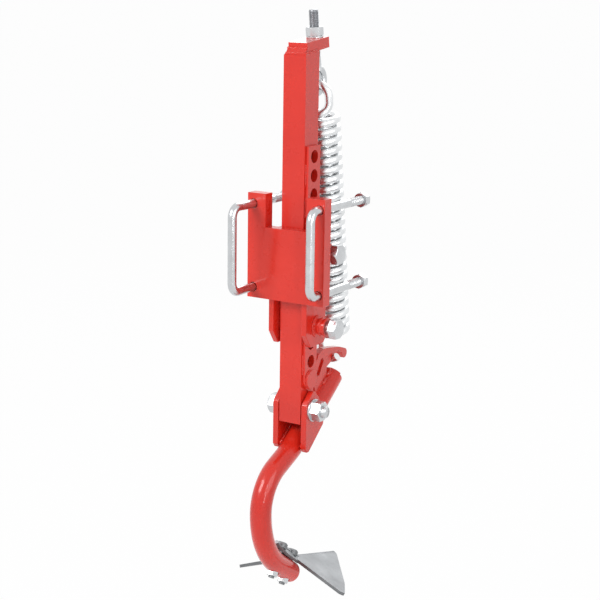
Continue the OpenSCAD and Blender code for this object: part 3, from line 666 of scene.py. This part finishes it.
# Clevis plates and pivot
# Two thick plates, welded to the tine bar, that straddle the tube and turn on one M20 bolt.
# The bolt runs in a bush through the tube and has a washer under its head and under its nut.
tine_red = red_enamel("tine_red", stipple=0.132, gloss=0.17, scuff=0.208)
for plate in ("clevis_left", "clevis_right"):
    softened(plate, tine_red, edge=0.0012)
softened("pivot_bush", bolt_zinc, edge=0.0004, steps=2)
softened("pivot_washers", bolt_zinc, edge=0.0004, steps=2)
softened("pivot_nut", bolt_zinc, edge=0.0006, steps=2)
softened("pivot_bolt", bolt_zinc, edge=0.0006, steps=2)
pivot_low, pivot_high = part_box("pivot_bolt")
nut_low, nut_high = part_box("pivot_nut")
pivot = (nut_low + nut_high) / 2
pivot_thread, pivot_pitch, thread_in_nut, thread_proud = 0.0203, 0.0025, 0.002, 0.0002
threaded_bar("pivot_thread", (nut_high.x - thread_in_nut, pivot.y, pivot.z),
             (pivot_high.x + thread_proud, pivot.y, pivot.z), pivot_thread, pivot_pitch, "tine", sides=40)

# Tine bar
# Round spring-steel bar, bent in one plane: forward and down from the spring, then back to the share.
# Its underside tapers to the top end, with a spot face for each nut there and at the toe.
bar, bar_gap, bar_behind = 0.035, 0.0004, 0.109
climb, shoulder, plumb, toe = (math.radians(a) for a in (35, 22, 90, 144))


def heading(a):
    """The way the bar runs at slope a, in the plane of Y and Z: 0 to the front, 90 degrees down."""
    return Vector((-math.cos(a), -math.sin(a)))


def inward(a):
    """The way square to the bar at slope a, to the inner side of its long bend."""
    return Vector((math.sin(a), -math.cos(a)))


# Each stretch has its first and last slope and a size: its length if it is straight, and its radius if
# it is bent, which is less than nought where it bends the other way.
tube_corner = Vector((tube_high.y, tube_low.z))
under_corner = tube_corner + (bar / 2 + bar_gap) * inward(climb)
bar_top = under_corner - bar_behind * heading(climb)
stretches = [(climb, climb, 0.156), (climb, shoulder, -0.060), (shoulder, shoulder, 0.043),
             (shoulder, plumb, 0.071), (plumb, toe, 0.128), (toe, toe, 0.054)]
run_step, bend_step = 0.003, 0.0025
bar_line, place = [], bar_top
for start, stop, size in stretches:
    if start == stop:
        steps = max(2, int(size / run_step))
        bar_line += [(place + heading(start) * size * k / steps, start) for k in range(steps)]
        place = place + heading(start) * size
    else:
        centre = place + size * inward(start)
        steps = max(6, int(abs(stop - start) * abs(size) / bend_step))
        slopes = [start + (stop - start) * k / steps for k in range(steps)]
        bar_line += [(centre - size * inward(a), a) for a in slopes]
        place = centre - size * inward(stop)
bar_line.append((place, toe))
bar_end = place

top_round, toe_round = 0.0025, 0.005
clear_of_top, clear_of_end = 0.6 * toe_round, 1.1 * toe_round
top_turns = [math.pi / 2 * k / 6 for k in range(6)]
toe_turns = [math.pi / 2 * k / 8 for k in range(9)]
top_rings = [(bar_top + heading(climb) * top_round * (1 - math.cos(t)), climb,
              bar / 2 - top_round * (1 - math.sin(t))) for t in top_turns]
toe_rings = [(bar_end - heading(toe) * toe_round * (1 - math.sin(t)), toe,
              bar / 2 - toe_round * (1 - math.cos(t))) for t in toe_turns]
long_rings = [(place, a, bar / 2) for place, a in bar_line
              if (place - bar_top).length > clear_of_top and (place - bar_end).length > clear_of_end]
taper, taper_length, bar_sides = math.tan(math.radians(11)), 0.058, 64


def pared(p):
    """A point of the bar, moved up to the taper's plane where it lies under it."""
    along = (p - bar_top).dot(heading(climb))
    under = (p - bar_top).dot(inward(climb)) - (bar / 2 - (taper_length - along) * taper)
    return p - under * inward(climb) if along < taper_length and 0 < under < bar else p


bar_rings = []
for place, a, radius in top_rings + long_rings + toe_rings:
    turns = [math.tau * j / bar_sides for j in range(bar_sides)]
    edge = [(radius * math.sin(t), pared(place + radius * math.cos(t) * inward(a))) for t in turns]
    bar_rings.append([(x, p.x, p.y) for x, p in edge])
bar_crease = math.radians(30)
tine_bar = skinned("tine_round_bar", bar_rings, tine_red, crease=bar_crease)

spot_radius, spot_depth = 0.011, 0.030
for end, slope, away, back, deep in ((bar_top, climb, 1, 0.013, 0.0075), (bar_top, climb, 1, 0.033, 0.0075),
                                     (bar_end, toe, -1, 0.019, 0.0145), (bar_end, toe, -1, 0.060, 0.0145)):
    seat = end + away * back * heading(slope) + away * (deep + spot_depth / 2) * inward(slope)
    spot = bmesh.new()
    bmesh.ops.create_cone(spot, cap_ends=True, segments=48, radius1=spot_radius, radius2=spot_radius,
                          depth=spot_depth)
    cutter_mesh = bpy.data.meshes.new("spot_face")
    spot.to_mesh(cutter_mesh)
    spot.free()
    cutter = bpy.data.objects.new("spot_face", cutter_mesh)
    scene.collection.objects.link(cutter)
    facing = Vector((0, *inward(slope))).to_track_quat("Z", "X").to_matrix().to_4x4()
    cutter.matrix_world = Matrix.Translation((0, *seat)) @ facing
    cutting = tine_bar.modifiers.new("spot_face", "BOOLEAN")
    cutting.object, cutting.solver = cutter, "EXACT"
    settled(tine_bar)
    bpy.data.objects.remove(cutter)
tine_bar.data.set_sharp_from_angle(angle=bar_crease)
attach(tine_bar, "tine")
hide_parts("tine_bar")

# Two beads side by side join the bar to each clevis plate.
clevis_low, clevis_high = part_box("clevis_right")
seam_x = (clevis_low.x + bar / 2) / 2
bead_rises, seam_ends = (0.0015, 0.0065), (-0.004, 0.050)
clevis_seams = []
for side in (-1, 1):
    for rise in bead_rises:
        ends = [under_corner - rise * inward(climb) + run * heading(climb) for run in seam_ends]
        clevis_seams.append([(side * seam_x, p.x, p.y) for p in ends])
weld("clevis_welds", clevis_seams, "tine", tine_red, radius=0.0031, ripple=0.0026)

# Spring lever
# A saddle strap bolted over the bar's top end, and a flame-cut hook plate welded on its crown.
# The claw of the plate holds the spring's lower hook, and the long slot saves weight.
softened("foot_strap", tine_red, edge=0.0009)
softened("hook_plate", tine_red, edge=0.0011)
softened("foot_bolts", tine_red, edge=0.0003, steps=2)
softened("foot_nuts", bolt_zinc, edge=0.0004, steps=2)

# Share
# Forged goosefoot share in dark hardened steel, with two wings that fall away from a ridge.
# Its neck is folded over the bar and held by two cup-headed bolts, with their nuts underneath.


def worked_steel(name, pale=1.0):
    """Blue-grey hardened steel: clouds of mill scale, duller in places, and a fine grain."""
    material, tree, shader, where = new_finish(name)
    scale = clouds(tree, where, 26, 7, 0.65)
    darker, lighter = [pale * c for c in (0.34, 0.355, 0.37)], [pale * c for c in (0.52, 0.54, 0.555)]
    toned(tree, shader, scale, darker, lighter)
    dulled(tree, shader, scale, 0.36, 0.56)
    raised(tree, shader, clouds(tree, where, 380, 4, 0.7), 0.22, 0.0004)
    shader.inputs["Metallic"].default_value = 0.55
    return material


share = softened("share", worked_steel("share_steel"), edge=0.0012)
# A darker copy of the same steel, at 0.45 of its tone, that paints shade.
shaded_steel = worked_steel("share_shaded_steel", pale=0.45)
share.data.materials.append(shaded_steel)
# The faces that look up take the pale steel, and the edges and undersides the darker copy: painted light on
# top, painted shade on the edges and undersides.
looks_up = 0.3
for face in share.data.polygons:
    face.material_index = 0 if face.normal.z > looks_up else 1
# The bolts wear the same darker copy of the steel that paints the share's shade.
softened("share_bolts", shaded_steel, edge=0.0003, steps=2)
softened("share_nuts", bolt_zinc, edge=0.0005, steps=2)
